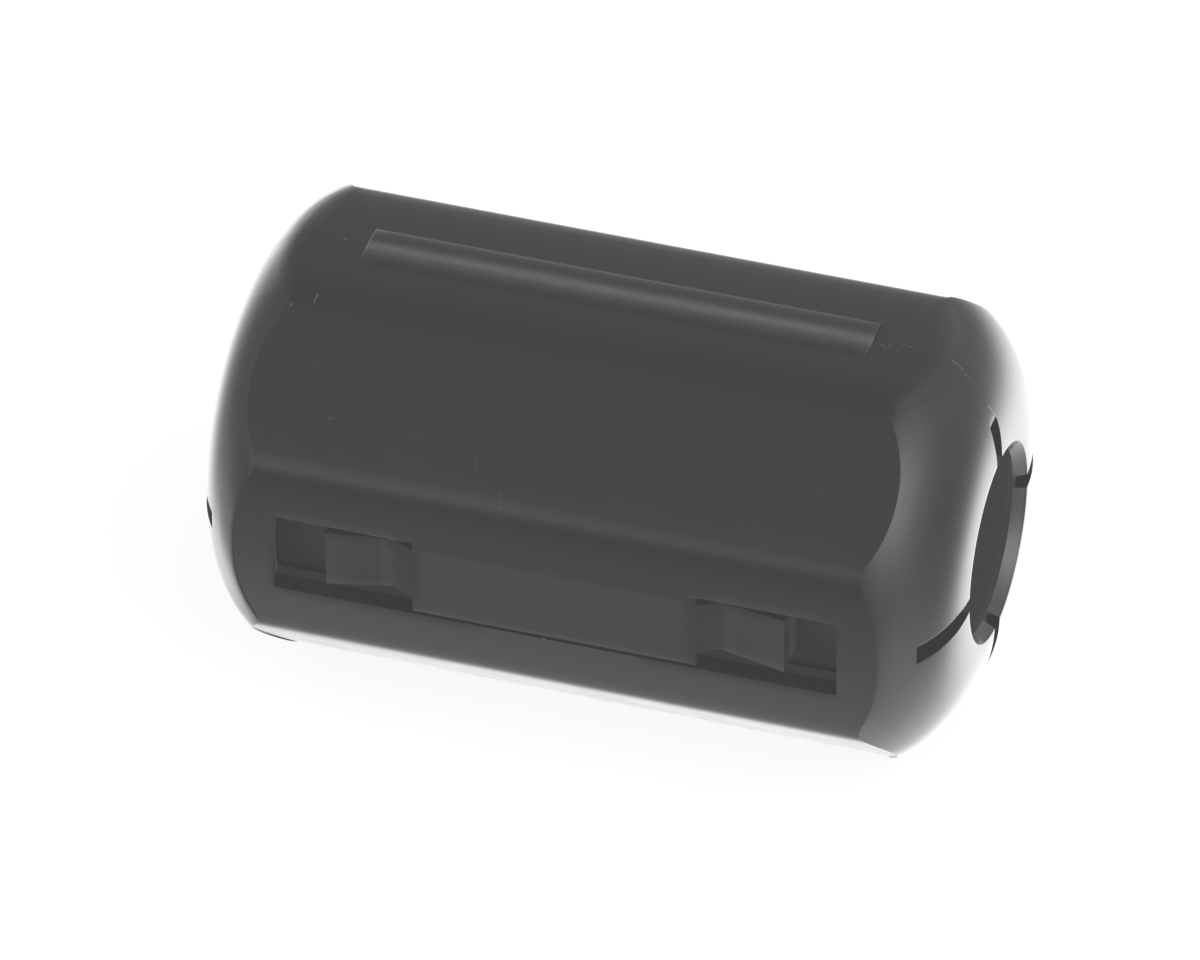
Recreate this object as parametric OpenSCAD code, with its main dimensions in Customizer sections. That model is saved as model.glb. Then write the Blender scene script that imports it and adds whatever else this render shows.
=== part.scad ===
// Clip-on ferrite bead: a two-part nylon case with a living hinge and a snap latch, round two half cores.
// X runs along the cable, the hinge is on top, the latch is underneath, and the bead rests on its latch side.

/* [Ferrite cores] */
// Radius of the cable opening in the case
bore_r = 3.7; // [3.3:0.1:4.2]
// Step from the cable opening out to the hole through the cores
core_bore_gap = 0.25; // [0.15:0.05:0.4]
// Radial thickness of the cores
core_t = 3.25; // [2.8:0.05:3.8]
// Depth of the flat on each core's side that the spring presses on
core_flat_depth = 0.2; // [0.15:0.05:0.3]
// Chamfer on the cores' end edges
core_chamfer = 0.3; // [0.2:0.05:0.4]
// Chamfer on the long outer edges of the mating faces
core_edge = 0.5; // [0.4:0.05:0.6]
// Radial gap between the cores and their cavity
core_gap = 0.3; // [0.25:0.05:0.4]
// Gap between a core's end and the shoulder behind it
core_end_gap = 0.2; // [0.1:0.05:0.3]
// Length of each clip that holds a core in its half
clip_l = 1.6; // [1:0.1:2]
// Gap between a clip and its core
clip_gap = 0.1; // [0.05:0.01:0.12]

/* [Case] */
// Length of the closed case along the cable
case_l = 30.3; // [26:0.1:34]
// Wall between the cavity and the hinge and latch panels
panel_t = 1.08; // [1:0.01:1.3]
// Half width of the hinge and latch panels
panel_half_w = 3.75; // [3.2:0.05:4]
// Wall between the cavity and the long edges of the side panels
side_t = 0.93; // [0.75:0.01:1]
// Half height of the side panels
side_half_h = 3.95; // [3.7:0.05:4.3]
// Rise of the side panels' shallow crown
side_crown = 0.3; // [0.1:0.05:0.4]
// Wall between the cavity and the rounding of the long corners
corner_t = 1.66; // [1.5:0.01:1.8]
// Length of each domed end
dome_l = 4.25; // [3.5:0.05:4.5]
// Radius that the full dome curve would gain over the long corners
dome_rise = 0.2; // [0.05:0.01:0.5]
// Width of the flat ring round the cable opening
lip_w = 0.12; // [0.06:0.02:0.3]
// Length of the wall at the cable opening
lip_l = 0.5; // [0.4:0.1:1.2]
// Distance from each end of the case to the shoulder behind the core
end_l = 3.15; // [2.6:0.05:3.4]
// Width of the shoulder behind the core
shoulder_w = 0.7; // [0.6:0.05:0.9]

/* [Gripping fingers] */
// Width of the slots that part each end wall into fingers
slot_w = 0.8; // [0.4:0.05:1]
// Length of the slots on the parting plane, from the cable opening
seam_slot_l = 2.15; // [1.8:0.05:3]
// Length of the slots in the middle of each half, from the cable opening
mid_slot_l = 3.8; // [3:0.1:3.9]

/* [Side window and spring] */
// Distance from the window's end to the shoulder behind the core
window_end_l = 0.75; // [0.6:0.05:1.5]
// Height of the window
window_h = 3.45; // [3.2:0.05:3.8]
// Half length of the bar that carries the spring fingers
bar_half_l = 5.65; // [5:0.05:6.5]
// Gap under the bar
bar_gap = 0.17; // [0.1:0.01:0.3]
// Distance from a finger's tip to the window's end
tip_gap = 2.1; // [1.6:0.05:2.4]
// Length of the ramp where a finger dips in from the bar
finger_ramp_l = 0.85; // [0.5:0.05:1.2]
// Depth of a finger's outer face at the foot of the ramp
finger_dip = 0.5; // [0.3:0.05:0.6]
// Depth of a finger's outer face at its tip
finger_tip_dip = 0.12; // [0.05:0.01:0.2]
// Thickness of a finger
finger_t = 0.6; // [0.5:0.05:0.65]
// Gap above a finger
finger_top_gap = 0.36; // [0.2:0.02:0.6]
// Gap under a finger at its root
finger_root_gap = 0.78; // [0.6:0.02:1]
// Gap under a finger at its tip
finger_tip_gap = 0.6; // [0.4:0.05:0.7]
// Length of the pad that presses on the core
pad_l = 1; // [0.8:0.1:1.2]

/* [Hinge] */
// Distance from the end of the living hinge to the end of the case
hinge_end_l = 5.05; // [4.5:0.05:7]
// Width of the living hinge
hinge_w = 1.9; // [1.6:0.1:2.2]
// Height of the living hinge above the panel
hinge_rise = 0.42; // [0.36:0.02:0.5]
// Thickness of the bending web
hinge_t = 0.35; // [0.3:0.05:0.4]
// Wall left between the cavity and the hinge's recess
hinge_seat_t = 0.5; // [0.4:0.05:0.6]

/* [Latch] */
// Distance from the middle to each hook
hook_x = 5.5; // [4.5:0.1:6.5]
// Width of a hook
hook_w = 3; // [2.4:0.1:3.4]
// Reach of a hook past the parting plane
hook_l = 2; // [1.8:0.05:2]
// Rise of a hook's top into the cavity
hook_rise = 0.05; // [0:0.01:0.1]
// Thickness of a hook's arm
hook_t = 0.55; // [0.5:0.05:0.6]
// Height of a hook's barb
barb_h = 0.4; // [0.3:0.05:0.45]
// Length of a hook's barb
barb_l = 0.85; // [0.7:0.05:0.9]
// Length of a hook's root inside its own half
hook_root_l = 1.2; // [0.8:0.1:1.5]
// Clearance of the hooks in their channels
hook_gap = 0.1; // [0.08:0.01:0.12]
// Clearance at each end of a hook
hook_side_gap = 0.2; // [0.15:0.05:0.3]

/* [Hidden] */
$fn = 96;
dome_steps = 8;
crown_steps = 4;
core_bore_r = bore_r + core_bore_gap;
core_r = core_bore_r + core_t;
core_flat_y = core_r - core_flat_depth;
cavity_r = core_r + core_gap;
cavity_half_l = case_l / 2 - end_l;
core_half_l = cavity_half_l - core_end_gap;
panel_z = cavity_r + panel_t;
axis_z = panel_z;
side_y = cavity_r + side_t;
side_mid_y = side_y + side_crown;
corner_r = cavity_r + corner_t;
dome_r = corner_r + dome_rise;
dome_start = case_l / 2 - dome_l;
dome_end_r = bore_r + lip_w;
dome_corner_a = acos((corner_r - dome_end_r) / (dome_r - dome_end_r));
inner_dome_l = end_l - lip_l;
inner_dome_r = cavity_r - shoulder_w;
window_half_l = cavity_half_l - window_end_l;
window_half_h = window_h / 2;
finger_tip_x = window_half_l - tip_gap;
hinge_half_l = case_l / 2 - hinge_end_l;
hinge_arc_r = (pow(hinge_w / 2, 2) + pow(hinge_rise, 2)) / (2 * hinge_rise);
hinge_arc_z = panel_z + hinge_rise - hinge_arc_r;
hinge_seat_z = cavity_r + hinge_seat_t;
hook_top_z = hook_rise - cavity_r;
hook_low_z = hook_top_z - hook_t;
clip_root = 0.3;
overcut = 1;
big = 2 * case_l;

// Cable axis along X, section drawn as (y, z).
module along_x(length) {
    rotate([90, 0, 90]) translate([0, 0, -length / 2]) linear_extrude(length) children();
}

// Side panel's outline on the +Y side, from its lower edge to its upper edge.
function side_points() = [
    for (k = [0 : crown_steps])
        let (t = 2 * k / crown_steps - 1)
        [side_y + side_crown * (1 - t * t), side_half_h * t]
];

module section() {
    right = side_points();
    polygon(concat(
        right,
        [[panel_half_w, panel_z], [-panel_half_w, panel_z]],
        [for (p = right) -p],
        [[-panel_half_w, -panel_z], [panel_half_w, -panel_z]]
    ));
}

// Right-hand end of the body of revolution, from the barrel's corner to the lip.
function dome_points() = [
    for (k = [0 : dome_steps])
        let (a = dome_corner_a + (90 - dome_corner_a) * k / dome_steps)
        [dome_end_r + (dome_r - dome_end_r) * cos(a), dome_start + dome_l * sin(a)]
];

function inner_points() = [
    for (k = [0 : dome_steps])
        let (a = 90 * k / dome_steps)
        [bore_r + (inner_dome_r - bore_r) * cos(a), cavity_half_l + inner_dome_l * sin(a)]
];

function mirrored(points) = [for (k = [len(points) - 1 : -1 : 0]) [points[k].x, -points[k].y]];

module revolved(points) {
    rotate([0, 90, 0]) rotate_extrude()
        polygon(concat([[0, -points[len(points) - 1].y]], mirrored(points), points,
            [[0, points[len(points) - 1].y]]));
}

module outer_body() {
    intersection() {
        along_x(case_l) section();
        revolved(dome_points());
    }
}

module cavity() {
    rotate([0, 90, 0]) cylinder(r = cavity_r, h = 2 * cavity_half_l, center = true);
    revolved(inner_points());
    rotate([0, 90, 0]) cylinder(r = bore_r, h = case_l + 2 * overcut, center = true);
}

// Slots from the cable opening outwards, one on each side of both end walls.
module end_slots(reach, turn) {
    rotate([turn, 0, 0])
        for (x = [-1, 1])
            translate([x * (cavity_half_l + case_l / 2) / 2, 0, 0])
                cube([case_l / 2 - cavity_half_l, slot_w, 2 * reach], center = true);
}

// Spring finger on the +X side, its outer face drawn as (x, y).
module finger() {
    root_y = side_mid_y - finger_dip;
    tip_y = side_mid_y - finger_tip_dip;
    foot_x = bar_half_l + finger_ramp_l;
    low_root = finger_root_gap - window_half_h;
    low_tip = finger_tip_gap - window_half_h;
    top_z = window_half_h - finger_top_gap;
    intersection() {
        translate([0, 0, -window_half_h]) linear_extrude(window_h)
            polygon([
                [bar_half_l - overcut, cavity_r], [bar_half_l - overcut, side_mid_y],
                [bar_half_l, side_mid_y], [foot_x, root_y], [finger_tip_x, tip_y],
                [finger_tip_x, core_flat_y], [finger_tip_x - pad_l, core_flat_y],
                [finger_tip_x - pad_l, tip_y - finger_t], [foot_x, root_y - finger_t]
            ]);
        rotate([90, 0, 0]) translate([0, 0, -side_mid_y - overcut]) linear_extrude(side_mid_y)
            polygon([
                [bar_half_l - overcut, -window_half_h + bar_gap], [bar_half_l, low_root],
                [bar_half_l + finger_ramp_l, low_root], [finger_tip_x, low_tip],
                [finger_tip_x, top_z], [bar_half_l - overcut, top_z]
            ]);
    }
}

// Window opening on the +Y side, and the bar and fingers that stand in it.
module window() {
    translate([0, (cavity_r + side_mid_y) / 2, 0])
        cube([2 * window_half_l, side_mid_y - cavity_r + 2 * overcut, window_h], center = true);
}

module spring() {
    bar_h = window_h - bar_gap + overcut;
    intersection() {
        outer_body();
        translate([-bar_half_l, cavity_r, bar_gap - window_half_h])
            cube([2 * bar_half_l, side_mid_y - cavity_r, bar_h]);
    }
    finger();
    mirror([1, 0, 0]) finger();
}

// Clips over the core's chamfered edges, drawn as (y, z) on the +Y side.
module core_clips() {
    tip = core_edge + clip_gap * sqrt(2);
    root_z = cavity_r + clip_root;
    for (x = [-1, 1], z = [0, 1])
        translate([x * (core_half_l - clip_l / 2), 0, 0]) mirror([0, 0, z])
            along_x(clip_l)
                polygon([[0, core_r - core_edge + clip_gap * sqrt(2)], [0, root_z],
                    [tip + clip_root, root_z], [tip, core_r + clip_gap]]);
}

// One half of the case on the +Y side, with a spring window and no latch.
module half_shell() {
    difference() {
        outer_body();
        cavity();
        window();
        end_slots(bore_r + seam_slot_l, 0);
        end_slots(bore_r + mid_slot_l, 90);
        translate([-big / 2, -big, -big / 2]) cube(big);
        hinge_recess();
    }
    spring();
    core_clips();
}

module hinge_recess() {
    translate([-hinge_half_l, -hinge_w / 2, hinge_seat_z]) cube([2 * hinge_half_l, hinge_w, overcut]);
}

// Hook seen along X, reaching from its root on the +Y side to its barb on the -Y side.
module hook() {
    barb_y = -hook_l + barb_l;
    along_x(hook_w)
        polygon([
            [hook_root_l, hook_top_z], [-hook_l, hook_top_z], [-hook_l, hook_low_z + hook_t / 2],
            [barb_y - barb_l / 2, hook_low_z - barb_h], [barb_y, hook_low_z - barb_h],
            [barb_y, hook_low_z], [hook_root_l, hook_low_z]
        ]);
}

// Channel for a hook's arm, and the catch window that its barb enters.
module hook_pocket() {
    width = hook_w + 2 * hook_side_gap;
    far_y = hook_l + hook_gap;
    catch_y = hook_l - barb_l - hook_gap;
    translate([-width / 2, -far_y, hook_low_z - hook_gap]) cube([width, far_y + overcut, hook_t + 3 * hook_gap]);
    translate([-width / 2, -far_y, -panel_z - overcut])
        cube([width, far_y - catch_y, overcut + panel_z + hook_low_z]);
}

module at_hooks() {
    for (x = [-1, 1]) translate([x * hook_x, 0, 0]) children();
}

module half_core() {
    rotate([0, 90, 0]) rotate_extrude(angle = 360)
        polygon([
            for (s = [-1, 1]) for (p = [0 : 3])
                let (q = s < 0 ? p : 3 - p)
                [[core_bore_r, core_bore_r + core_chamfer, core_r - core_chamfer, core_r][q],
                    s * (core_half_l - (q == 0 || q == 3 ? core_chamfer : 0))]
        ]);
}

module core() {
    difference() {
        half_core();
        translate([-big / 2, -big, -big / 2]) cube(big);
        translate([-big / 2, core_flat_y, -big / 2]) cube(big);
        for (z = [0, 1]) mirror([0, 0, z])
            along_x(big)
                polygon([[-overcut, core_r - core_edge - overcut], [core_edge + overcut, core_r + overcut],
                    [-overcut, core_r + overcut]]);
    }
}

module front_shell() {
    color([0.09, 0.09, 0.09]) translate([0, 0, axis_z]) difference() {
        mirror([0, 1, 0]) half_shell();
        at_hooks() hook_pocket();
    }
}

module back_shell() {
    color([0.09, 0.09, 0.09]) translate([0, 0, axis_z]) {
        half_shell();
        at_hooks() hook();
    }
}

module hinge_strip() {
    color([0.1, 0.1, 0.1]) translate([0, 0, axis_z]) intersection() {
        translate([-hinge_half_l, -hinge_w / 2, hinge_seat_z]) cube([2 * hinge_half_l, hinge_w, hinge_w]);
        translate([0, 0, hinge_arc_z]) rotate([0, 90, 0]) difference() {
            cylinder(r = hinge_arc_r, h = 2 * hinge_half_l, center = true);
            cylinder(r = hinge_arc_r - hinge_t, h = 2 * hinge_half_l + overcut, center = true);
        }
    }
}

module front_core() {
    color([0.2, 0.2, 0.21]) translate([0, 0, axis_z]) mirror([0, 1, 0]) core();
}

module back_core() {
    color([0.2, 0.2, 0.21]) translate([0, 0, axis_z]) core();
}

front_shell();
back_shell();
hinge_strip();
front_core();
back_core();
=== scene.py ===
import bpy, bmesh, math
from mathutils import Matrix, Vector


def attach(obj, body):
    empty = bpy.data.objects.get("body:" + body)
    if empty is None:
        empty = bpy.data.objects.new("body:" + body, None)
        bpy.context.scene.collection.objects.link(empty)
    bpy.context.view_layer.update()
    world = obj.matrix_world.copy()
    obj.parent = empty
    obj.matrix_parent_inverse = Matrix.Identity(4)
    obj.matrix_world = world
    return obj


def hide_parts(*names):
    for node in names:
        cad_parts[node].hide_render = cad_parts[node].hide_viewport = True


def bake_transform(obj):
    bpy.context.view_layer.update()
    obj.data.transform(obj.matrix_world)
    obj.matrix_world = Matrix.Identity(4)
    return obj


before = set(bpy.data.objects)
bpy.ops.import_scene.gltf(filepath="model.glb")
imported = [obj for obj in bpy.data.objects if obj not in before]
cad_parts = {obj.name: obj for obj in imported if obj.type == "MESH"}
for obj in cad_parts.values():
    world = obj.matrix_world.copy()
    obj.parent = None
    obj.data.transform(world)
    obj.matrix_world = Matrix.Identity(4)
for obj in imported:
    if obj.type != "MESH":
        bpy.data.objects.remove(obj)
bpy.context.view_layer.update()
mm = 0.001
print("frame loaded")


# The closed case, shared by both halves, in millimetres from the cable axis.
case = {
    "axisZ": 8.58,  # height of the cable axis over the resting face
    "panelZ": 8.58,
    "panelHalfW": 3.75,
    "panelCrown": 0.09,
    "panelFall": 0.2,  # the crown's curve goes down by no more than this
    "sideY": 8.43,
    "sideHalfH": 3.95,
    "sideCrown": 0.30,
    "cornerPower": 40,  # higher is a sharper long corner
    "domeStart": 10.9,
    "domeL": 4.25,
    "domeBase": 3.82,  # the dome is flat from here to the mouth
    "domeRise": 5.54,
    "domeStep": 0.05,  # the barrel sits this much under the domes
    "lipR": 3.98,
    "boreR": 3.70,
    "cavityR": 7.5,
    "cavityX": 12.0,
    "cavityTaper": 0.12,  # for each row of the turn into the shoulder
    "shoulderR": 6.6,
    "innerDomeL": 2.65,
    "slotHalfW": 0.4,
    "seamSlotR": 5.85,
    "midSlotR": 7.5,
    "edgeRound": 0.045,
    "seamRound": 0.01,
}
# How the barrel turns into the domes: crisp at the sides and slants, soft at the two panels.
domeTurn = {
    "softFrom": 62.5,  # degrees up or down from the side
    "softTo": 73,
    "softReach": 0.52,  # part of the run past the windows
    "softFall": 0.6,
    "softBelly": 0.45,
    "crispRun": 0.12,
    "crispDrop": (0.01, 0.06),  # the two small rings that keep it crisp
    "firstRing": 0.18,  # the next ring, as a part of the way to the dome's own rings
}
# The window, the hinge's seat and the latch are all cut from the same grid as the case.
window = {
    "halfL": 11.25,
    "halfH": 1.725,
    "barHalfL": 5.65,
    "barLowZ": -1.555,
    "barCrown": 0.9,  # part of the side's crown that the bar keeps
    "rampX": 6.5,
    "tipX": 9.15,
    "padX": 8.15,
    "dip": 0.50,
    "tipDip": 0.12,
    "fingerT": 0.60,
    "fingerTopZ": 1.365,
    "fingerLowZ": -1.06,  # the column that slopes from the root to the tip
    "fingerRootZ": -0.945,
    "fingerTipZ": -1.125,
    "coreFlatY": 7.0,
    "coreGap": 0.02,
    "undercut": 0.28,  # the window's end walls lean back under the skin
}
hinge = {
    "halfL": 10.1,
    "halfW": 0.95,
    "webT": 0.35,
    "webHalfW": 0.93,
    "spreadW": 1.13,  # half width of the strip seen on the panels
    "lift": 0.14,  # its height over them
    "clear": 0.004,  # keeps its thin edges off the panels
    "sink": 0.06,  # and their undersides in them
    "flatTop": 6,  # higher is a flatter top with steeper edges
    "endRound": 0.05,
    "endHeight": 0.05,  # only end edges this much over the panels are rounded
    "endAngle": 0.8,  # and turning by more than this, in radians
    "seatZ": 8.0,
    "axisZ": 17.405,  # over the resting face
}
latch = {
    "x": 5.5,
    "halfW": 1.5,
    "sideGap": 0.2,
    "reach": 2.0,
    "topZ": -7.45,
    "armT": 0.55,
    "barbH": 0.4,
    "barbL": 0.85,
    "rootL": 1.2,
    "gap": 0.1,
}


# Polar radius of the eight-sided section: bowed side, slant and crowned panel, eased together.
def sectionRadius(angle):
    c, s = abs(math.cos(angle)), abs(math.sin(angle))
    bow = case["sideCrown"] / case["sideHalfH"] ** 2 * s * s
    reach = case["sideY"] + case["sideCrown"]
    side = reach / c if bow < 1e-9 else (-c + math.sqrt(c * c + 4 * bow * reach)) / (2 * bow)
    dy, dz = case["sideY"] - case["panelHalfW"], case["panelZ"] - case["sideHalfH"]
    slant = (dz * case["sideY"] + dy * case["sideHalfH"]) / (dz * c + dy * s)
    crown = 0.0
    if angle > 0:  # only the hinge panels are crowned
        across = c / max(s, 0.1) * case["panelZ"] / case["panelHalfW"]
        crown = max(case["panelCrown"] * (1 - across ** 2), -case["panelFall"])
    panel = (case["panelZ"] + crown) / max(s, 1e-6)
    k = case["cornerPower"]
    return (side ** -k + slant ** -k + panel ** -k) ** (-1 / k)


def domeX(rho):
    t = max(0.0, rho - case["domeBase"]) / case["domeRise"]
    return case["domeStart"] + case["domeL"] * math.sqrt(max(0.0, 1 - t * t))


# Each half is a grid. Its columns run round it from the hinge seam to the latch seam: "y" and
# "z" columns keep that distance from the axis, "a" columns keep an angle in degrees from the
# side, and the last value is 1 above the axis and -1 below it.
brink = 0.05  # a fine step beside an edge keeps it crisp
besideSlot = 0.68
pocketHalfW = latch["halfW"] + latch["sideGap"]
pocketX = [latch["x"] - pocketHalfW, latch["x"] + pocketHalfW]
catchY = [latch["reach"] - latch["barbL"] - latch["gap"], latch["reach"] + latch["gap"]]
topSteps = [0, 0.2, case["slotHalfW"], besideSlot, hinge["halfW"], hinge["halfW"] + brink,
            1.5, 2.1, 2.7, 3.15]
slantSteps = [69.6, 68.6, 67.8, 67.2, 66.7, 66.2, 65.7, 65.1, 64.2, 62.8, 60.5, 58, 55, 52, 49,
              46, 43, 40, 37, 34.5, 32, 30, 28.4, 27.2, 26.4, 25.8, 25.3, 24.8, 24.2, 23.4,
              22.2, 20.5, 18.3, 16, 14]  # closer together at the two long corners
sideSteps = [window["halfH"], 1.55, window["fingerTopZ"], 1.0, besideSlot, case["slotHalfW"], 0.135,
             -0.135, -case["slotHalfW"], -besideSlot, window["fingerLowZ"], -1.3,
             window["barLowZ"], -window["halfH"]]
latchSteps = [3.15, 2.6, catchY[1] + brink, catchY[1], 1.6, catchY[0], 0.7, case["slotHalfW"],
              0.2, 0]
columns = [("y", v, 1) for v in topSteps] + [("a", v, 1) for v in slantSteps]
columns += [("z", v, 1) for v in sideSteps]
columns += [("a", v, -1) for v in reversed(slantSteps)] + [("y", v, -1) for v in latchSteps]
fingerColumn = columns.index(("z", window["fingerLowZ"], 1))

# Its rows run along the cable: "x" rows on the barrel, "near" and "edge" rows where it turns
# into the dome, and "rho" rows at a radius of the dome. The last value is the side, 1 for +X.
barrelSteps = [0, 1.3, 2.6, pocketX[0], pocketX[0] + brink, 4.8, window["barHalfL"],
               window["rampX"], pocketX[1] - brink, pocketX[1], window["padX"],
               window["padX"] + brink, window["tipX"], 9.6, hinge["halfL"],
               hinge["halfL"] + brink, 10.7, window["halfL"]]
nearSteps = [0.22, 0.44]  # parts of the way from the window to the crease
domeSteps = [8.1, 7.8, case["midSlotR"], 7.2, 6.9, 6.6, 6.35, 6.1, case["seamSlotR"], 5.6, 5.3,
             5.0, 4.7, 4.42, 4.18, case["lipR"]]
halfRows = [("x", v) for v in barrelSteps] + [("near", v) for v in nearSteps]
halfRows += [("edge", v) for v in range(8)] + [("rho", v) for v in domeSteps]
rows = [(k, v, -1) for k, v in reversed(halfRows[1:])] + [(k, v, 1) for k, v in halfRows]


# Angle of a column from the side towards the top, at a radius.
def columnAngle(column, radius):
    kind, value, up = column
    if kind == "a":
        return math.radians(value) * up
    if kind == "z":
        return math.asin(value / radius)
    return up * math.acos(value / radius)


# The same on the barrel's skin, whose radius changes with the angle.
def barrelAngle(column, radius=8.7, rounds=12):
    for turn in range(rounds):
        angle = columnAngle(column, radius)
        radius = sectionRadius(angle) - case["domeStep"]
    return angle


def smoothStep(low, high, value):
    t = max(0.0, min(1.0, (value - low) / (high - low)))
    return t * t * (3 - 2 * t)


# A point on the curve from start to end that heads for the corner between them.
def curvePoint(t, start, corner, end):
    return [(1 - t) ** 2 * a + 2 * t * (1 - t) * b + t * t * c
            for a, b, c in zip(start, corner, end)]


# (x, angle, radius) of the outer skin, on the +X side.
def outerPoint(row, column, index):
    kind, value = row[:2]
    angle = barrelAngle(column)
    section = sectionRadius(angle)
    soft = smoothStep(domeTurn["softFrom"], domeTurn["softTo"], abs(math.degrees(angle)))
    barrel = section - case["domeStep"] * (1 - soft)
    crease = domeX(section)
    if kind == "x":
        if index == fingerColumn and window["barHalfL"] <= value <= window["tipX"]:
            t = max(0.0, (value - window["rampX"]) / (window["tipX"] - window["rampX"]))
            low = window["fingerRootZ"] + (window["fingerTipZ"] - window["fingerRootZ"]) * t
            angle = math.asin(low / section)
        return value, angle, barrel
    if kind == "near":
        return window["halfL"] + (crease - window["halfL"]) * value, angle, barrel
    if kind == "rho":
        if column[0] != "a" and abs(column[1]) <= case["slotHalfW"]:
            angle = columnAngle(column, value)
        return domeX(value), angle, value

    # Edge rows 0 to 3 make the turn, 4 to 7 carry on to the first ring of the dome.
    reach = domeTurn["softReach"] * (crease - window["halfL"])
    low = section - domeTurn["softFall"] * min(reach, section - domeSteps[0])
    curve = (crease - reach, section), (crease, section), (domeX(low), low)
    lip, drop = domeTurn["crispDrop"]
    if value < 3:
        crisp = ((crease - domeTurn["crispRun"], barrel), (crease, barrel),
                 (crease, section - lip))[value]
        rounded = curvePoint(value / 4, *curve)
        x, radius = (c * (1 - soft) + r * soft for c, r in zip(crisp, rounded))
        return x, angle, radius
    part = (value - 4) / 4
    if value == 3:
        crisp, rounded = section - drop, section - domeTurn["softBelly"] * (section - low)
    else:
        first = domeTurn["firstRing"]
        crisp = section + (domeSteps[0] - section) * (first + (1 - first) * part)
        rounded = low + (domeSteps[0] - low) * part
    radius = crisp * (1 - soft) + rounded * soft
    x = domeX(radius)
    if value == 3:
        x += soft * (curvePoint(0.75, *curve)[0] - domeX(rounded))
    return x, angle, radius


innerStep = {"near": 0.2, "edgeStart": 0.12, "edge": 0.07}  # of the inner rows past the window


# (x, angle, radius) of the matching point on the cavity side.
def innerPoint(row, column, index):
    kind, value = row[:2]
    wallX = window["halfL"] + window["undercut"]
    radius = case["cavityR"]
    if kind == "x":
        x = wallX if value == window["halfL"] else value
    elif kind == "near":
        x = wallX + innerStep["near"] * value
    elif kind == "edge":
        x = min(case["cavityX"], wallX + innerStep["edgeStart"] + innerStep["edge"] * value)
        radius -= case["cavityTaper"] * max(0, value - 3)
    else:
        turn = math.pi / 2 * domeSteps.index(value) / (len(domeSteps) - 1)
        x = case["cavityX"] + case["innerDomeL"] * math.sin(turn)
        radius = case["boreR"] + (case["shoulderR"] - case["boreR"]) * math.cos(turn)
    if column[0] == "a" or (kind == "rho" and abs(column[1]) > case["slotHalfW"]):
        angle = barrelAngle(column)
    else:
        angle = columnAngle(column, radius)
    if kind == "x" and index == fingerColumn:
        skinAngle, skinRadius = outerPoint(row, column, index)[1:]
        angle = math.asin(skinRadius * math.sin(skinAngle) / radius)
    return x, angle, radius


# How far the spring finger's face lies under the panel.
def fingerDepth(x):
    if x <= window["rampX"]:
        return window["dip"] * (x - window["barHalfL"]) / (window["rampX"] - window["barHalfL"])
    t = (x - window["rampX"]) / (window["tipX"] - window["rampX"])
    return window["dip"] + (window["tipDip"] - window["dip"]) * t


def pushOut(bm, faces):
    made = bmesh.ops.extrude_face_region(bm, geom=faces, use_keep_orig=True)
    return [g for g in made["geom"] if isinstance(g, bmesh.types.BMVert)]


def turnOutwards(bm):
    bmesh.ops.recalc_face_normals(bm, faces=bm.faces[:])
    if bm.calc_volume(signed=True) < 0:
        bmesh.ops.reverse_faces(bm, faces=bm.faces[:])


def roundEdges(bm, edges, size, segments):
    bmesh.ops.bevel(bm, geom=edges, offset=size, segments=segments, profile=0.5, affect="EDGES",
                    clamp_overlap=True, material=-1)


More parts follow.
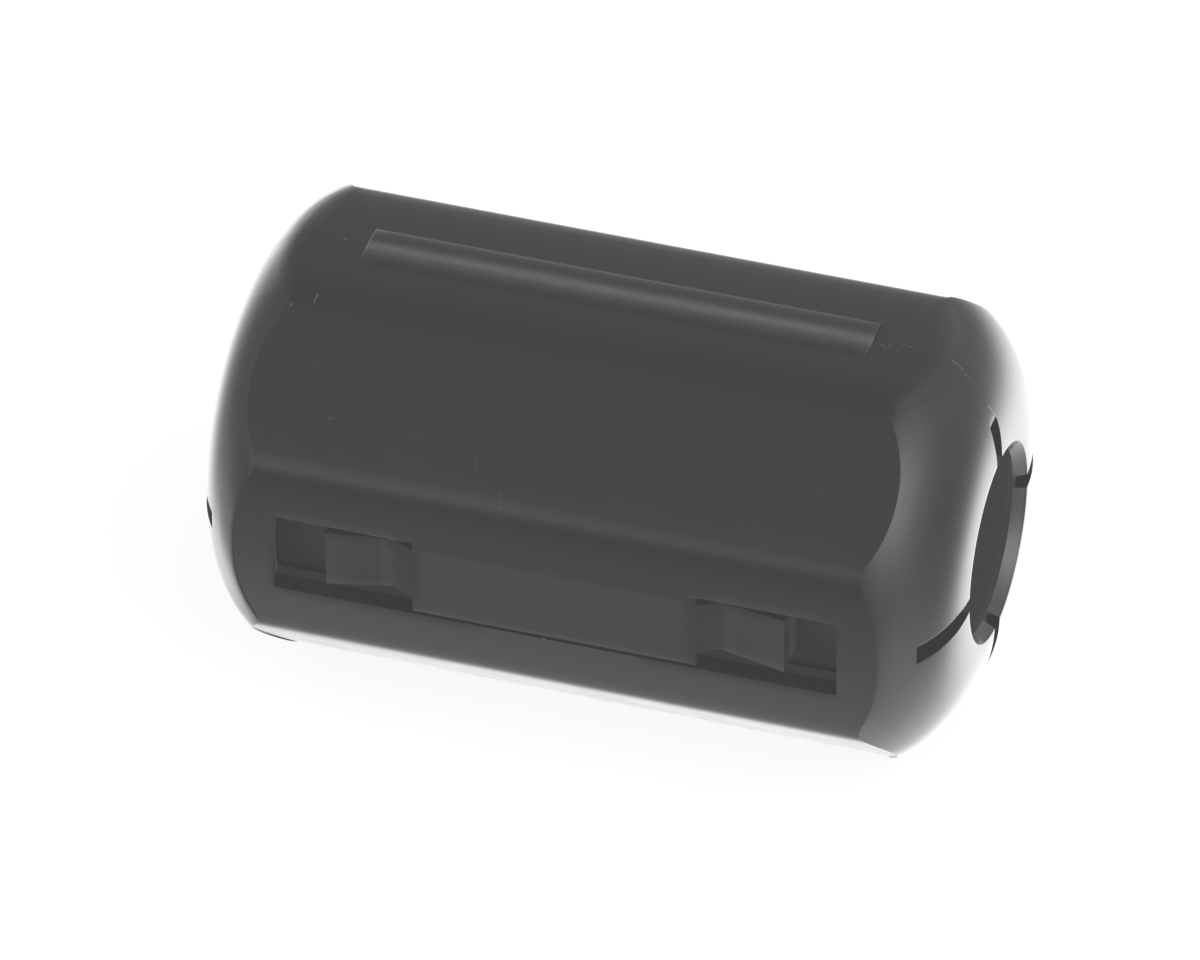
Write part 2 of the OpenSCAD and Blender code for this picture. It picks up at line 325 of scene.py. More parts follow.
def buildShell(facing, pockets):
    bm = bmesh.new()
    rowOf = bm.verts.layers.int.new("row")
    colOf = bm.verts.layers.int.new("col")
    lastRow, lastCol = len(rows) - 1, len(columns) - 1
    bmesh.ops.create_grid(bm, x_segments=lastRow, y_segments=lastCol, size=1)
    for v in bm.verts:
        v[rowOf] = round((v.co.x + 1) / 2 * lastRow)
        v[colOf] = round((v.co.y + 1) / 2 * lastCol)

    def place(v, inner):
        row, column = rows[v[rowOf]], columns[v[colOf]]
        x, angle, radius = (innerPoint if inner else outerPoint)(row, column, v[colOf])
        y, z = radius * math.cos(angle), radius * math.sin(angle)
        (kind, along, end), (way, across, up) = row, column
        onBarrel = kind == "x"
        inWindow = onBarrel and way == "z" and abs(across) < window["halfH"]
        onFinger = window["fingerLowZ"] <= across <= window["fingerTopZ"]
        if inWindow and window["barHalfL"] < along <= window["tipX"] and onFinger:
            y = case["sideY"] + case["sideCrown"] - case["domeStep"] - fingerDepth(along)
            if inner:
                y -= window["fingerT"]
            if inner and along > window["padX"]:
                y = window["coreFlatY"] + window["coreGap"]
        elif inWindow and along <= window["barHalfL"] and not inner:
            y = case["sideY"] + case["sideCrown"] * window["barCrown"] - case["domeStep"]
        if onBarrel and way == "y":
            underStrip = up > 0 and across <= hinge["halfW"] and along <= hinge["halfL"]
            inPocket = up < 0 and across <= catchY[1] and pocketX[0] < along < pocketX[1]
            if underStrip and not inner:
                z = hinge["seatZ"]
            if inPocket and inner and pockets:
                z = latch["topZ"] - latch["armT"] - latch["gap"]
        v.co = (end * x, facing * y, z)

    # True where the skin is open: the window, the gaps round its spring, slots, catch windows.
    def isOpen(face):
        i = min(v[rowOf] for v in face.verts)
        j = min(v[colOf] for v in face.verts)
        (kind, first), (nextKind, last) = rows[i][:2], rows[i + 1][:2]
        (way, left, up), (nextWay, right) = columns[j], columns[j + 1][:2]
        along, across = (first + last) / 2, (left + right) / 2
        if kind != nextKind or way != nextWay:
            return False
        if kind == "x" and way == "z":
            if along < window["barHalfL"]:
                return across < window["barLowZ"]
            onFinger = window["fingerLowZ"] < across < window["fingerTopZ"]
            return along >= window["tipX"] or not onFinger
        if kind == "x" and way == "y":
            inCatch = pocketX[0] < along < pocketX[1] and catchY[0] < across < catchY[1]
            return pockets and up < 0 and inCatch
        if kind == "rho" and way != "a":
            slotR = case["midSlotR"] if way == "z" else case["seamSlotR"]
            return along < slotR and abs(across) < case["slotHalfW"]
        return False

    bmesh.ops.delete(bm, geom=[f for f in bm.faces if isOpen(f)], context="FACES")
    innerVerts = set(pushOut(bm, bm.faces[:]))
    for v in bm.verts:
        place(v, v in innerVerts)
    turnOutwards(bm)
    skin = {f for f in bm.faces if not any(v in innerVerts for v in f.verts)}
    walls = {f for f in bm.faces if f not in skin and any(v not in innerVerts for v in f.verts)}

    def isRim(edge):
        faces = edge.link_faces
        onSkin, onWall = sum(f in skin for f in faces), sum(f in walls for f in faces)
        return len(faces) == 2 and onSkin == onWall == 1

    def onSeam(edge):
        return all(abs(v.co.y) < 0.01 for v in edge.verts)

    rims = [e for e in bm.edges if isRim(e)]
    seam = [e for e in rims if onSeam(e)]
    roundEdges(bm, [e for e in rims if not onSeam(e)], case["edgeRound"], 3)
    roundEdges(bm, [e for e in seam if e.is_valid], case["seamRound"], 1)
    return bm


# Lifts a piece to the cable axis, in metres, marks its crisp edges and puts it on its body.
def finishMesh(name, bm, body, material, replaced=(), sharp=40):
    bmesh.ops.transform(bm, matrix=Matrix.Translation((0, 0, case["axisZ"])), verts=bm.verts[:])
    bmesh.ops.scale(bm, vec=(mm, mm, mm), verts=bm.verts[:])
    for f in bm.faces:
        f.smooth = True
    for e in bm.edges:
        e.smooth = len(e.link_faces) == 2 and e.calc_face_angle(0) < math.radians(sharp)
    mesh = bpy.data.meshes.new(name)
    bm.to_mesh(mesh)
    bm.free()
    piece = bpy.data.objects.new(name, mesh)
    bpy.context.scene.collection.objects.link(piece)
    mesh.materials.append(material)
    weigh = piece.modifiers.new("weighted", "WEIGHTED_NORMAL")
    weigh.keep_sharp = True
    if body:
        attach(piece, body)
    if replaced:
        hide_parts(*replaced)
    print("made", name, len(mesh.polygons), "faces")
    return piece


# A straight bar of the given (y, z) outline, as a separate lump in the same mesh.
def addBar(bm, profile, x, halfLength, facing, edgeR=0.04):
    verts = [bm.verts.new((x - halfLength, facing * y, z)) for y, z in profile]
    moved = pushOut(bm, [bm.faces.new(verts)])
    bmesh.ops.translate(bm, vec=(2 * halfLength, 0, 0), verts=moved)
    faces = list({f for v in verts + moved for f in v.link_faces})
    bmesh.ops.recalc_face_normals(bm, faces=faces)
    roundEdges(bm, list({e for f in faces for e in f.edges}), edgeR, 2)


ferrite = {
    "outerR": 7.2,
    "boreR": 3.95,
    "halfL": 11.8,
    "flatY": 7.0,
    "endChamfer": 0.3,
    "edgeChamfer": 0.5,
    "turnSteps": 72,
}
clip = {
    "halfL": 0.8,
    "play": 0.1,  # between the clip and the core
    "seamGap": 0.01,
    "rootT": 0.3,  # how far it spreads at the root, and how deep that goes into the wall
    "edgeR": 0.03,
}


# The four clips that keep a half core in its cavity.
def addClips(bm, facing):
    slant = clip["play"] * math.sqrt(2)
    tip = ferrite["edgeChamfer"] + slant
    low = ferrite["outerR"] - ferrite["edgeChamfer"] + slant
    high = ferrite["outerR"] + clip["play"]
    root = case["cavityR"] + clip["rootT"]
    for x in (-1, 1):
        for up in (-1, 1):
            profile = [(clip["seamGap"], up * low), (clip["seamGap"], up * root),
                       (tip + clip["rootT"], up * root), (tip, up * high)]
            middle = x * (ferrite["halfL"] - clip["halfL"])
            addBar(bm, profile, middle, clip["halfL"], facing, clip["edgeR"])


# The two hooks on the back half, which reach into the pockets of the front half.
def addHooks(bm):
    tip, barb = -latch["reach"], latch["barbL"] - latch["reach"]
    low = latch["topZ"] - latch["armT"]
    profile = [(latch["rootL"], latch["topZ"]), (tip, latch["topZ"]),
               (tip, low + latch["armT"] / 2), (barb - latch["barbL"] / 2, low - latch["barbH"]),
               (barb, low - latch["barbH"]), (barb, low), (latch["rootL"], low)]
    for x in (-1, 1):
        addBar(bm, profile, x * latch["x"], latch["halfW"], 1)


stripSteps = (1, 0.985, 0.965, 0.94, 0.91, 0.87, 0.82, 0.76, 0.69, 0.61, 0.52, 0.43, 0.34, 0.25,
              0.16, 0.08, 0)  # parts of its half width, closer together at the edge


# The living hinge: a low web between the halves that thins out over both panels.
def buildHinge():
    bm = bmesh.new()
    half = []
    for part in stripSteps:
        y = part * hinge["spreadW"]
        panel = case["panelZ"] + case["panelCrown"] * (1 - (y / case["panelHalfW"]) ** 2)
        half.append((y, panel + hinge["clear"] + hinge["lift"] * (1 - part ** hinge["flatTop"])))
    outline = half + [(-y, z) for y, z in reversed(half[:-1])]
    last = len(outline) - 1
    bmesh.ops.create_grid(bm, x_segments=30, y_segments=last, size=1)
    inner = set(pushOut(bm, bm.faces[:]))
    underside = case["panelZ"] + hinge["lift"] - hinge["webT"] - hinge["seatZ"]
    for v in bm.verts:
        y, z = outline[round((v.co.y + 1) / 2 * last)]
        if v in inner and abs(y) > hinge["webHalfW"]:
            z = case["panelZ"] - hinge["sink"]
        elif v in inner:
            z = hinge["seatZ"] + underside * (1 - (y / hinge["webHalfW"]) ** 2)
        v.co = (v.co.x * hinge["halfL"], y, z)
    turnOutwards(bm)
    brow = case["panelZ"] + case["panelCrown"] + hinge["endHeight"]

    def isEndEdge(edge):
        atEnd = all(abs(abs(v.co.x) - hinge["halfL"]) < 1e-4 and v.co.z > brow for v in edge.verts)
        return atEnd and len(edge.link_faces) == 2 and edge.calc_face_angle(0) > hinge["endAngle"]

    roundEdges(bm, [e for e in bm.edges if isEndEdge(e)], hinge["endRound"], 3)
    return bm


# A half tube of ferrite with a ground flat under the window and chamfered edges.
def buildCore(facing):
    bm = bmesh.new()
    outer, bore, half = ferrite["outerR"], ferrite["boreR"], ferrite["halfL"]
    c = ferrite["endChamfer"]
    loop = [(bore, half - c), (bore + c, half), (outer - c, half), (outer, half - c)]
    loop += [(r, -x) for r, x in reversed(loop)]
    verts = [bm.verts.new((x, 0, r)) for r, x in loop]
    edges = [bm.edges.new(pair) for pair in zip(verts, verts[1:] + verts[:1])]
    bmesh.ops.spin(bm, geom=verts + edges, cent=(0, 0, 0), axis=(1, 0, 0),
                   angle=-math.pi * facing, steps=ferrite["turnSteps"], use_duplicate=False)
    bmesh.ops.remove_doubles(bm, verts=bm.verts[:], dist=1e-4)
    partings = [e for e in bm.edges if len(e.link_faces) == 1]
    bmesh.ops.holes_fill(bm, edges=partings, sides=0)
    edge = outer - ferrite["edgeChamfer"]
    cuts = [((0, facing * ferrite["flatY"], 0), (0, facing, 0))]
    cuts += [((0, 0, up * edge), (0, -facing, up)) for up in (-1, 1)]
    for point, normal in cuts:
        whole = bm.verts[:] + bm.edges[:] + bm.faces[:]
        sliced = bmesh.ops.bisect_plane(bm, geom=whole, plane_co=point, plane_no=normal,
                                        clear_outer=True)
        rim = [g for g in sliced["geom_cut"] if isinstance(g, bmesh.types.BMEdge)]
        bmesh.ops.holes_fill(bm, edges=rim, sides=0)
    turnOutwards(bm)
    return bm


def grey(value):
    return value, value, value, 1


# A new node; settings are its own, and inputs hold plain values or other nodes' outputs.
def node(tree, kind, inputs=None, **settings):
    made = tree.nodes.new(kind)
    for key, value in settings.items():
        setattr(made, key, value)
    for key, value in (inputs or {}).items():
        if isinstance(value, bpy.types.NodeSocket):
            tree.links.new(value, made.inputs[key])
        else:
            made.inputs[key].default_value = value
    return made


def calc(tree, operation, *values, clamp=False):
    inputs = dict(enumerate(values))
    return node(tree, "ShaderNodeMath", inputs, operation=operation, use_clamp=clamp).outputs[0]


def times(tree, a, b):
    return calc(tree, "MULTIPLY", a, b)


def plus(tree, a, b):
    return calc(tree, "ADD", a, b)


def minus(tree, a, b, clamp=False):
    return calc(tree, "SUBTRACT", a, b, clamp=clamp)


def noise(tree, vector, scale, detail, roughness):
    inputs = {"Vector": vector, "Scale": scale, "Detail": detail, "Roughness": roughness}
    return node(tree, "ShaderNodeTexNoise", inputs).outputs["Fac"]


def cells(tree, vector, scale):
    inputs = {"Vector": vector, "Scale": scale}
    return node(tree, "ShaderNodeTexVoronoi", inputs).outputs["Distance"]


def stretched(tree, vector, scale):
    return node(tree, "ShaderNodeMapping", {"Vector": vector, "Scale": scale}).outputs[0]


def split(tree, vector):
    return node(tree, "ShaderNodeSeparateXYZ", {0: vector}).outputs


def vectorMath(tree, operation, inputs):
    return node(tree, "ShaderNodeVectorMath", inputs, operation=operation).outputs


def blendColours(tree, factor, low, high):
    return node(tree, "ShaderNodeMix", {0: factor, 6: low, 7: high}, data_type="RGBA").outputs[2]


# An empty node group; its inputs are named with their kinds, its outputs are all plain values.
def group(name, inputs, outputs):
    tree = bpy.data.node_groups.new(name, "ShaderNodeTree")
    for label, kind in inputs.items():
        tree.interface.new_socket(name=label, in_out="INPUT", socket_type="NodeSocket" + kind)
    for label in outputs:
        tree.interface.new_socket(name=label, in_out="OUTPUT", socket_type="NodeSocketFloat")
    return tree, tree.nodes.new("NodeGroupInput").outputs, tree.nodes.new("NodeGroupOutput").inputs


def useGroup(tree, source, inputs):
    return node(tree, "ShaderNodeGroup", inputs, node_tree=source).outputs


moulding = {  # scale, detail and roughness of each noise, on coordinates in metres
    "wave": (160.0, 2.0, 0.5),
    "grain": (5200.0, 3.0, 0.55),
    "patch": (420.0, 3.0, 0.6),
    "pitScale": 900.0,
    "pitSize": 0.07,
    "pitRarity": 0.66,
    "pitDepth": 0.4,
    "toneShares": (0.25, 0.5),  # of the grain and the patches
    "roughShares": (0.10, 0.06),  # of the patches and the grain
    "heightShares": (0.6, 0.12),  # of the waves and the grain
}


# Moulded nylon: faint flow waves, fine grain and rare pits.
def surfaceGroup():
    outputs = ["Tone", "Roughness", "Height"]
    tree, entry, out = group("mouldedSurface", {"Vector": "Vector"}, outputs)
    vector = entry["Vector"]
    wave, grain, patch = (noise(tree, vector, *moulding[key]) for key in ("wave", "grain", "patch"))
    pit = calc(tree, "LESS_THAN", cells(tree, vector, moulding["pitScale"]), moulding["pitSize"])
    speck = times(tree, pit, calc(tree, "GREATER_THAN", patch, moulding["pitRarity"]))

    def mixed(first, second, shares):
        return plus(tree, times(tree, first, shares[0]), times(tree, second, shares[1]))

    height = mixed(wave, grain, moulding["heightShares"])
    height = minus(tree, height, times(tree, speck, moulding["pitDepth"]))
    tree.links.new(mixed(grain, patch, moulding["toneShares"]), out["Tone"])
    tree.links.new(mixed(patch, grain, moulding["roughShares"]), out["Roughness"])
    tree.links.new(height, out["Height"])
    return tree


hollow = {  # where the extra painted glow inside the case begins, in millimetres
    "skinX": 0.6,  # how far under the domes along the cable
    "skinR": 1.3,  # and across it
    "skinEdge": 12.0,  # higher is a sharper border
    "partingY": 0.1,  # no extra painted glow on the parting faces, all of it this much further in
    "partingFade": 1.2,
    "endX": 11.7,
    "endFade": 0.4,
    "beforeEnd": 0.55,  # share of the extra painted glow between the two ends
    "boreEdge": 0.1,
}


# Cavity is 1 on the hidden inner surfaces, Bore is 1 within the given radius of the cable axis;
# both place extra painted glow.
def insideGroup():
    tree, entry, out = group("inside", {"Vector": "Vector", "Radius": "Float"}, ["Cavity", "Bore"])
    x, y, z = split(tree, entry["Vector"])
    z = minus(tree, z, case["axisZ"] * mm)
    away = calc(tree, "SQRT", plus(tree, times(tree, y, y), times(tree, z, z)))
    x, y = calc(tree, "ABSOLUTE", x), calc(tree, "ABSOLUTE", y)
    square = 0.0
    for value, start, reach in ((x, case["domeStart"], case["domeL"] - hollow["skinX"]),
                                (away, case["domeBase"], case["domeRise"] - hollow["skinR"])):
        part = calc(tree, "DIVIDE", minus(tree, value, start * mm), reach * mm)
        part = calc(tree, "MAXIMUM", part, 0.0)
        square = plus(tree, times(tree, part, part), square)
    within = calc(tree, "MULTIPLY", minus(tree, 1.0, square), hollow["skinEdge"], clamp=True)
    for value, start, fade, least in ((y, hollow["partingY"], hollow["partingFade"], 0.0),
                                      (x, hollow["endX"], hollow["endFade"], hollow["beforeEnd"])):
        part = calc(tree, "DIVIDE", minus(tree, value, start * mm), fade * mm, clamp=True)
        within = times(tree, within, calc(tree, "MAXIMUM", part, least))
    edge = hollow["boreEdge"] * mm
    bore = calc(tree, "DIVIDE", minus(tree, entry["Radius"], away), edge, clamp=True)
    tree.links.new(within, out["Cavity"])
    tree.links.new(bore, out["Bore"])
    return tree


# 1 within a rounded stroke from a start point, falling to 0 at its edge.
def strokeGroup():
    kinds = {"Vector": "Vector", "Start": "Vector", "Along": "Vector", "Span": "Float",
             "Width": "Float"}
    tree, entry, out = group("stroke", kinds, ["Mask"])
    away = vectorMath(tree, "SUBTRACT", {0: entry["Vector"], 1: entry["Start"]})["Vector"]
    reached = vectorMath(tree, "DOT_PRODUCT", {0: away, 1: entry["Along"]})["Value"]
    reached = node(tree, "ShaderNodeClamp", {"Value": reached, "Max": entry["Span"]}).outputs[0]
    foot = vectorMath(tree, "SCALE", {0: entry["Along"], "Scale": reached})["Vector"]
    rest = vectorMath(tree, "SUBTRACT", {0: away, 1: foot})["Vector"]
    size = vectorMath(tree, "LENGTH", {0: rest})["Value"]
    near = minus(tree, 1.0, calc(tree, "DIVIDE", size, entry["Width"]))
    mask = calc(tree, "SMOOTH_MIN", calc(tree, "MAXIMUM", near, 0.0), markLook["core"])
    tree.links.new(mask, out["Mask"])
    return tree


marks = {  # start, end, half width in millimetres, strength
    "seamFlash": [
        ((10.40, -0.12, 17.25), (10.62, -0.20, 17.25), 0.06, 0.10),
        ((10.72, -0.05, 17.25), (10.80, -0.06, 17.25), 0.05, 0.10),
        ((11.24, 0.10, 17.25), (11.62, 0.05, 17.24), 0.05, 0.14),
        ((11.80, 0.03, 17.23), (12.75, 0.02, 17.15), 0.035, 0.07),
        ((13.20, 0.0, 16.98), (13.40, 0.02, 16.84), 0.07, 0.16),
        ((13.50, 0.03, 16.75), (13.62, 0.05, 16.65), 0.05, 0.12),
        ((13.75, -0.03, 16.50), (13.90, -0.05, 16.31), 0.05, 0.12),
        ((14.05, -0.02, 16.10), (14.42, -0.03, 15.50), 0.03, 0.10),
        ((14.62, 0.12, 15.05), (14.88, 0.42, 14.30), 0.05, 0.40),
        ((-11.09, 0.15, 17.25), (-11.02, 0.12, 17.25), 0.06, 0.20),
    ],
    "panelScratch": [
        ((-10.95, -1.47, 17.24), (-11.05, -3.35, 17.06), 0.03, 0.035),
        ((-11.06, -3.30, 17.12), (-11.08, -3.62, 16.98), 0.055, 0.16),
    ],
    "slantScratches": [
        ((-9.48, -6.77, 14.10), (-9.45, -6.80, 14.07), 0.05, 0.08),
        ((-3.53, -7.14, 13.73), (-3.45, -7.41, 13.46), 0.03, 0.05),
        ((-2.34, -7.80, 13.05), (-2.20, -8.24, 12.45), 0.035, 0.05),
    ],
    # pale flecks along the window's rims
    "windowEdgePaleFlecks": [
        ((-0.33, -8.63, 10.26), (0.23, -8.65, 10.16), 0.045, 0.04),
        ((-7.45, -8.64, 10.32), (-6.95, -8.64, 10.32), 0.035, 0.12),
        ((-6.70, -8.64, 10.32), (-6.05, -8.64, 10.32), 0.03, 0.09),
        ((5.36, -8.64, 10.30), (5.68, -8.64, 10.31), 0.04, 0.10),
        ((-0.43, -8.60, 6.85), (-0.37, -8.60, 6.85), 0.05, 0.20),
        ((3.10, -8.60, 6.85), (3.22, -8.60, 6.85), 0.04, 0.10),
        ((-11.30, -8.62, 9.35), (-11.30, -8.62, 8.90), 0.05, 0.05),
    ],
    # pale flecks on the tips of the spring fingers
    "fingerTipPaleFlecks": [
        ((9.15, -8.45, 9.72), (9.17, -8.40, 9.30), 0.05, 0.16),
        ((9.13, -8.30, 8.10), (9.13, -8.25, 7.50), 0.035, 0.10),
    ],
}
markLook = {
    "contrast": 1.6,
    "core": 0.6,  # the mask levels off here towards a stroke's middle
    "breakLow": 0.2,  # noise under this hides a mark
    "breakGain": 2.2,
}


# All the marks of this very piece in one mask.
def marksGroup(stroke):
    tree, entry, out = group("marks", {"Vector": "Vector"}, ["Pale"])
    total = 0.0
    for start, end, width, strength in sum(marks.values(), []):
        along = Vector(end) - Vector(start)
        line = useGroup(tree, stroke, {
            "Vector": entry["Vector"], "Start": Vector(start) * mm, "Along": along.normalized(),
            "Span": along.length * mm, "Width": width * mm})
        total = plus(tree, times(tree, line["Mask"], strength * markLook["contrast"]), total)
    tree.links.new(total, out["Pale"])
    return tree


moulded = surfaceGroup()
inside = insideGroup()
worn = marksGroup(strokeGroup())
fineBreak = (9000.0, 2.0, 0.6)  # a noise that breaks up marks and grinding lines


# The case's marks, broken up by fine noise.
def caseWear(tree, vector):
    pale = useGroup(tree, worn, {"Vector": vector})["Pale"]
    broken = minus(tree, noise(tree, vector, *fineBreak), markLook["breakLow"])
    return times(tree, pale, times(tree, broken, markLook["breakGain"]))


bend = {  # millimetres from the middle of the web, half width, strength
    "line": (-0.12, 0.30, 0.15),
    "side": (-0.62, 0.32, 0.032),
    "streak": (4200.0, 3.0, 0.6),
    "streakScale": (0.12, 1.0, 0.3),
    "streakShares": (0.9, 0.5),  # of the streaks and of the even part
}


# The web has gone pale along its bend line, in streaks.
def hingeWear(tree, vector):
    y = split(tree, vector)["Y"]
    total = 0.0
    for centre, width, strength in (bend["line"], bend["side"]):
        off = calc(tree, "DIVIDE", minus(tree, y, centre * mm), width * mm)
        bell = calc(tree, "EXPONENT", times(tree, times(tree, off, off), -1.0))
        total = plus(tree, times(tree, bell, strength), total)
    streak = noise(tree, stretched(tree, vector, bend["streakScale"]), *bend["streak"])
    streaky, even = bend["streakShares"]
    return times(tree, total, plus(tree, times(tree, streak, streaky), even))


def startMaterial(name):
    material = bpy.data.materials.new(name)
    material.use_nodes = True
    tree = material.node_tree
    position = node(tree, "ShaderNodeTexCoord").outputs["Object"]
    return material, tree, tree.nodes["Principled BSDF"], position


def addBump(tree, shader, height, look):
    bump = {"Height": height, "Strength": look["bump"], "Distance": look["bumpDepth"] * mm}
    tree.links.new(node(tree, "ShaderNodeBump", bump).outputs["Normal"], shader.inputs["Normal"])


# Painted glow: a faint even emission on the black material that stands in for scattered light, with
# a little more of it inside, where it lifts the shade of the hollows.
def addPaintedGlow(tree, shader, position, look):
    where = useGroup(tree, inside, {"Vector": position, "Radius": look["paintedGlowBoreR"] * mm})
    total = plus(tree, times(tree, where["Cavity"], look["paintedGlowInside"]), look["paintedGlow"])
    total = plus(tree, times(tree, where["Bore"], look["paintedGlowBore"]), total)
    tree.links.new(total, shader.inputs["Emission Color"])
    shader.inputs["Emission Strength"].default_value = 1.0


caseLook = {
    "base": 0.006,
    "tones": (0.6, 1.6),  # the darkest and palest parts of the base
    "worn": 0.5,
    "rough": 0.08,
    "ior": 1.5,
    "bump": 0.25,
    "bumpDepth": 0.03,
    # painted glow: an even emission in place of scattered light, with more in the cavity and the
    # bore
    "paintedGlow": 0.040,
    "paintedGlowInside": 0.022,
    "paintedGlowBore": 0.03,
    "paintedGlowBoreR": 4.0,
}
hingeLook = {**caseLook, "base": 0.007, "rough": 0.12}


def nylon(name, look, wear):
    material, tree, shader, position = startMaterial(name)
    surface = useGroup(tree, moulded, {"Vector": position})
    dark, pale = (grey(look["base"] * tone) for tone in look["tones"])
    black = blendColours(tree, surface["Tone"], dark, pale)
    colour = blendColours(tree, wear(tree, position), black, grey(look["worn"]))
    tree.links.new(colour, shader.inputs["Base Color"])
    tree.links.new(plus(tree, surface["Roughness"], look["rough"]), shader.inputs["Roughness"])
    shader.inputs["IOR"].default_value = look["ior"]
    addBump(tree, shader, surface["Height"], look)
    addPaintedGlow(tree, shader, position, look)
    return material


ferriteLook = {
    "grain": (3500.0, 4.0, 0.6),
    "cloud": (300.0, 3.0, 0.5),
    "poreScale": 1500.0,
    "poreSize": 0.12,
    "groundY": 0.02,  # the parting faces are ground: smoother, with fine lines along the core
    "lineStretch": (0.03, 1.0, 1.0),
    "dark": (0.014, 0.014, 0.0145, 1),
    "pale": (0.05, 0.049, 0.05, 1),
    "toneShares": (0.6, 0.3, 0.9, 0.3),  # of the grain, the cloud, the lines and the pores
    "rough": 0.5,
    "grainRough": 0.2,
    "groundRough": 0.27,  # how much smoother the ground faces are
    "poreDepth": 0.8,
    "groundFlat": 0.7,  # how much of the grain's height is ground away
    "lineDepth": 0.3,
    "bump": 0.5,
    "bumpDepth": 0.04,
    # painted glow: an even emission in place of scattered light, with more in the bore
    "paintedGlow": 0.035,
    "paintedGlowInside": 0.0,
    "paintedGlowBore": 0.029,
    "paintedGlowBoreR": 4.35,
}


# Sintered ferrite: dull and fine grained, with small pores.
def ceramic(name, look):
    material, tree, shader, position = startMaterial(name)
    grain = noise(tree, position, *look["grain"])
    cloud = noise(tree, position, *look["cloud"])
    pore = calc(tree, "LESS_THAN", cells(tree, position, look["poreScale"]), look["poreSize"])
    fromParting = calc(tree, "ABSOLUTE", split(tree, position)["Y"])
    ground = calc(tree, "LESS_THAN", fromParting, look["groundY"] * mm)
    lines = noise(tree, stretched(tree, position, look["lineStretch"]), *fineBreak)
    lines = times(tree, lines, ground)

    ofGrain, ofCloud, ofLines, ofPores = look["toneShares"]
    tone = plus(tree, times(tree, grain, ofGrain), times(tree, cloud, ofCloud))
    tone = plus(tree, tone, times(tree, lines, ofLines))
    tone = minus(tree, tone, times(tree, pore, ofPores), clamp=True)
    colour = blendColours(tree, tone, look["dark"], look["pale"])
    tree.links.new(colour, shader.inputs["Base Color"])

    rough = plus(tree, times(tree, grain, look["grainRough"]), look["rough"])
    rough = minus(tree, rough, times(tree, ground, look["groundRough"]))
    tree.links.new(rough, shader.inputs["Roughness"])

    height = minus(tree, grain, times(tree, pore, look["poreDepth"]))
    height = times(tree, height, minus(tree, 1.0, times(tree, ground, look["groundFlat"])))
    addBump(tree, shader, plus(tree, height, times(tree, lines, look["lineDepth"])), look)
    addPaintedGlow(tree, shader, position, look)
    return material


caseNylon = nylon("caseNylon", caseLook, caseWear)
hingeNylon = nylon("hingeNylon", hingeLook, hingeWear)
coreFerrite = ceramic("coreFerrite", ferriteLook)
print("materials made")

for side, facing in (("front", -1), ("back", 1)):
    shell = buildShell(facing, side == "front")
    addClips(shell, facing)
    if side == "back":
        addHooks(shell)
    finishMesh(side + "_case", shell, side, caseNylon, [side + "_shell"])
    core = buildCore(facing)
    finishMesh(side + "_ferrite", core, side, coreFerrite, [side + "_core"], 20)

strip = finishMesh("living_hinge", buildHinge(), None, hingeNylon)
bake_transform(strip)
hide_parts("hinge_strip")
print("case, hinge and cores in place")

# The floor stays white to the camera and keeps the soft contact shadow; reflections see the lit
# table of the tent instead.
floorLook = {"halfWidth": 1.5, "shade": 0.2, "glow": 0.88}
floorMesh = bpy.data.meshes.new("floor")
bm = bmesh.new()
bmesh.ops.create_grid(bm, x_segments=1, y_segments=1, size=floorLook["halfWidth"])
bm.to_mesh(floorMesh)
bm.free()
floor = bpy.data.objects.new("floor", floorMesh)
bpy.context.scene.collection.objects.link(floor)
white = bpy.data.materials.new("whiteFloor")
white.use_nodes = True
tree = white.node_tree
tree.nodes.remove(tree.nodes["Principled BSDF"])
diffuse = node(tree, "ShaderNodeBsdfDiffuse", {"Color": grey(floorLook["shade"])})
glow = node(tree, "ShaderNodeEmission", {"Color": grey(1), "Strength": floorLook["glow"]})
both = node(tree, "ShaderNodeAddShader", {0: diffuse.outputs[0], 1: glow.outputs[0]})
tree.links.new(both.outputs[0], tree.nodes["Material Output"].inputs["Surface"])
floorMesh.materials.append(white)
floor.visible_glossy = False


# The direction at a turn from the front towards the right and a height over the table, in degrees.
def aim(turn, height):
    turn, height = math.radians(turn), math.radians(height)
    level = math.cos(height)
    return Vector((math.sin(turn) * level, -math.cos(turn) * level, math.sin(height)))


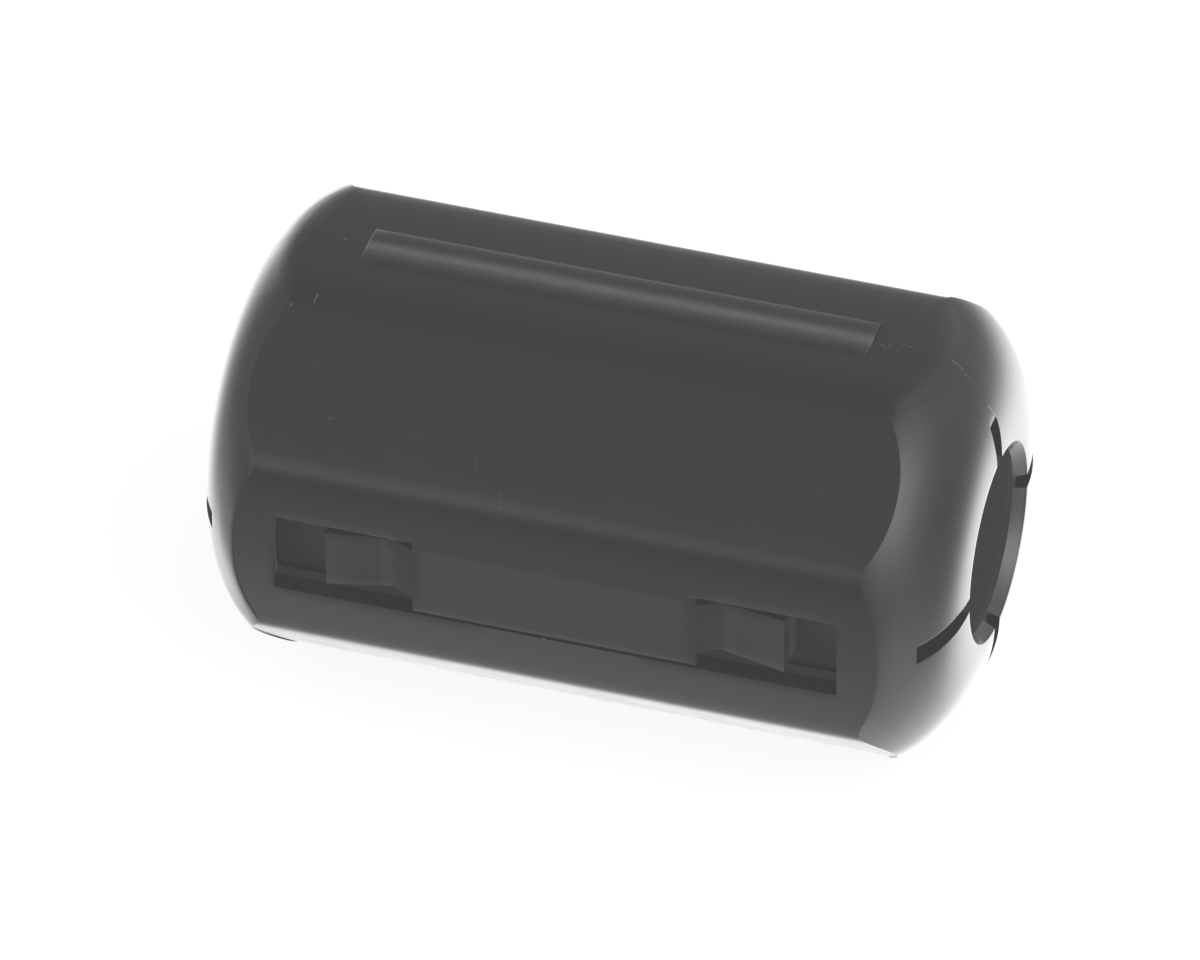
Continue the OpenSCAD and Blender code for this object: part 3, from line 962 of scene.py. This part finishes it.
# A light tent: turn, height and spread in degrees, and strength, of each soft box and each lit
# part of the table.
softBoxes = {
    "leftWindow": (-35, 15, 10, 3.8),
    "rightWindow": (65, 30, 22, 3.3),
    "frontCeiling": (25, 40, 12, 1.2),
    "leftWall": (-70, 25, 35, 0.7),
    "rightWall": (135, 15, 26, 0.55),
    "backCeiling": (150, 60, 13, 0.65),
    "backWall": (170, 25, 13, 0.45),
    "backWindow": (-165, 30, 12, 0.2),
    "backFoot": (-165, 0, 12, 0.2),
    "backLeftWall": (-140, 5, 12, 1.75),
    "tableNear": (15, -75, 14, 1.2),
    "tableFront": (-10, -35, 13, 0.4),
    "tableFrontLeft": (-30, -50, 9, 0.6),
    "tableLeft": (-90, -30, 12, 0.95),
    "tableDeepLeft": (-115, -45, 9, 1.8),
    "tableBackLeft": (-135, -25, 15, 1.6),
    "tableLeftRim": (-140, -25, 9, 0.9),
    "tableBack": (-165, -40, 12, 0.9),
    "tableBackLow": (175, -50, 8, 0.9),
    "tableBackMiddle": (165, -30, 11, 1.7),
    "tableBackRight": (145, -35, 8, 1.6),
    "tableFarRight": (140, -25, 12, 0.45),
    "tableUnder": (140, -60, 19, 1.5),
    "tableRight": (70, -40, 20, 1.3),
}
restOfTent = 0.002
world = bpy.data.worlds.new("tent")
bpy.context.scene.world = world
world.use_nodes = True
tree = world.node_tree
direction = node(tree, "ShaderNodeTexCoord").outputs["Generated"]
total = restOfTent
for turn, height, spread, strength in softBoxes.values():
    toward = vectorMath(tree, "DOT_PRODUCT", {0: direction, 1: aim(turn, height)})["Value"]
    tight = 1 / math.radians(spread) ** 2
    bell = calc(tree, "MULTIPLY_ADD", toward, tight, -tight)
    total = plus(tree, times(tree, calc(tree, "EXPONENT", bell), strength), total)
light = node(tree, "ShaderNodeBackground", {"Color": grey(1), "Strength": total})
plain = node(tree, "ShaderNodeBackground", {"Color": grey(1)})
path = node(tree, "ShaderNodeLightPath")
seen = node(tree, "ShaderNodeMixShader", {
    0: path.outputs["Is Camera Ray"], 1: light.outputs[0], 2: plain.outputs[0]})
tree.links.new(seen.outputs[0], tree.nodes["World Output"].inputs["Surface"])

view = {
    "turn": 17.42,
    "height": 38.68,
    "roll": 0.27,
    "distance": 600.0,
    "scale": 25.97,  # pixels to a millimetre
    "pictureW": 1200,
    "sensorW": 36,
    "aside": -0.79,
    "above": -0.36,
}
camData = bpy.data.cameras.new("camera")
camData.sensor_width = view["sensorW"]
camData.lens = view["scale"] * view["distance"] * view["sensorW"] / view["pictureW"]
camera = bpy.data.objects.new("camera", camData)
bpy.context.scene.collection.objects.link(camera)
back = aim(view["turn"], view["height"])
right = aim(view["turn"] + 90, 0)
up = back.cross(right)
spot = Vector((0, 0, case["axisZ"])) + back * view["distance"]
spot += right * view["aside"] + up * view["above"]
roll = math.radians(view["roll"])
rolledRight = right * math.cos(roll) - up * math.sin(roll)
rolledUp = back.cross(rolledRight)
pose = Matrix((rolledRight, rolledUp, back)).transposed().to_4x4()
pose.translation = spot * mm
camera.matrix_world = pose
bpy.context.scene.camera = camera
bpy.context.scene.view_settings.view_transform = "Standard"
print("camera, floor and light placed")
